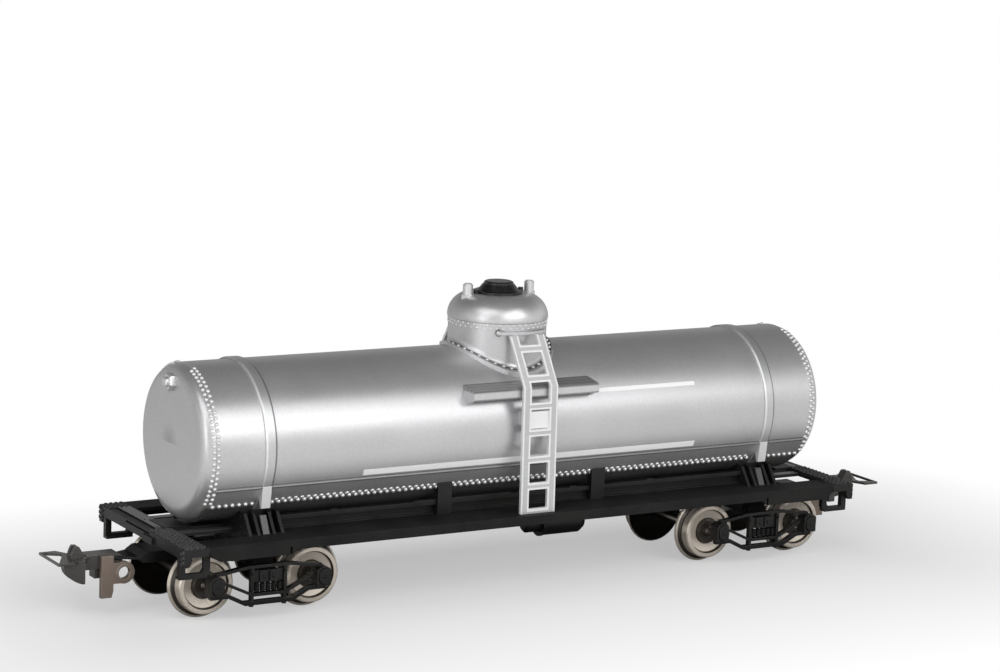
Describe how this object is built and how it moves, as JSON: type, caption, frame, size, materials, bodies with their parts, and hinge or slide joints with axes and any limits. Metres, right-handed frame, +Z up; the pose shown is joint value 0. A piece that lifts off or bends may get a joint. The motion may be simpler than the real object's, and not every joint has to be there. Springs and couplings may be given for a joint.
{
  "type": "model railway tank car",
  "caption": "HO scale model tank car: silver dome tank on a black underframe with swivelling trucks, free wheelsets, ladders and loop couplers.",
  "frame": {"origin": "centre of the bounding box's footprint, at the lowest point of the wheel flanges", "axes": "+X along the car, +Z up, -Y the side seen in the picture"},
  "size_m": [0.1608, 0.0336, 0.0505],
  "materials": {
    "silver": "silver metallic paint on plastic",
    "grey_trim": "light grey plastic",
    "black": "satin black plastic",
    "coupler_plastic": "dark grey plastic",
    "wheel_metal": "turned metal, champagne tint",
    "axle_steel": "plain steel",
    "plate_steel": "brown-grey sheet steel"
  },
  "bodies": {
    "car": {"tank": "silver", "tank_bands": "silver", "band_straps": "silver", "dome": "silver", "hatch_cover": "black", "safety_valves": "silver", "ladder_near": "grey_trim", "dome_platform_near": "grey_trim", "running_board_near": "black", "ladder_far": "grey_trim", "dome_platform_far": "grey_trim", "running_board_far": "black", "centre_sill": "black", "side_sills": "black", "cross_bearers": "black", "support_posts": "black", "corner_steps": "black", "brake_gear": "black", "end_platform_left": "black", "saddle_left": "black", "king_pin_left": "axle_steel", "end_platform_right": "black", "saddle_right": "black", "king_pin_right": "axle_steel"},
    "truck_left": {"truck_bolster_left": "black", "coupler_arm_left": "black", "truck_springs_left": "black", "side_frame_left_near": "black", "side_frame_left_far": "black"},
    "coupler_left": {"coupler_left": "coupler_plastic", "coupler_plate_left": "plate_steel"},
    "truck_right": {"truck_bolster_right": "black", "coupler_arm_right": "black", "truck_springs_right": "black", "side_frame_right_near": "black", "side_frame_right_far": "black"},
    "coupler_right": {"coupler_right": "coupler_plastic", "coupler_plate_right": "plate_steel"},
    "wheelset_1": {"axle_1": "axle_steel", "wheel_1_near": "wheel_metal", "wheel_1_far": "wheel_metal"},
    "wheelset_2": {"axle_2": "axle_steel", "wheel_2_near": "wheel_metal", "wheel_2_far": "wheel_metal"},
    "wheelset_3": {"axle_3": "axle_steel", "wheel_3_near": "wheel_metal", "wheel_3_far": "wheel_metal"},
    "wheelset_4": {"axle_4": "axle_steel", "wheel_4_near": "wheel_metal", "wheel_4_far": "wheel_metal"}
  },
  "joints": [
    {"name": "truck_left_swivel", "type": "hinge", "parent": "car", "child": "truck_left", "pos_m": [-0.0484, 0, 0.0109], "axis": [0, 0, 1], "range_deg": [-8, 8]},
    {"name": "coupler_left_swing", "type": "hinge", "parent": "truck_left", "child": "coupler_left", "pos_m": [-0.0694, 0, 0.0093], "axis": [0, 0, 1], "range_deg": [-12, 12]},
    {"name": "truck_right_swivel", "type": "hinge", "parent": "car", "child": "truck_right", "pos_m": [0.0484, 0, 0.0109], "axis": [0, 0, 1], "range_deg": [-8, 8]},
    {"name": "coupler_right_swing", "type": "hinge", "parent": "truck_right", "child": "coupler_right", "pos_m": [0.0694, 0, 0.0093], "axis": [0, 0, 1], "range_deg": [-12, 12]},
    {"name": "wheelset_1_spin", "type": "hinge", "parent": "truck_left", "child": "wheelset_1", "pos_m": [-0.0578, 0, 0.0057], "axis": [0, 1, 0], "continuous": true},
    {"name": "wheelset_2_spin", "type": "hinge", "parent": "truck_left", "child": "wheelset_2", "pos_m": [-0.039, 0, 0.0057], "axis": [0, 1, 0], "continuous": true},
    {"name": "wheelset_3_spin", "type": "hinge", "parent": "truck_right", "child": "wheelset_3", "pos_m": [0.039, 0, 0.0057], "axis": [0, 1, 0], "continuous": true},
    {"name": "wheelset_4_spin", "type": "hinge", "parent": "truck_right", "child": "wheelset_4", "pos_m": [0.0578, 0, 0.0057], "axis": [0, 1, 0], "continuous": true}
  ]
}
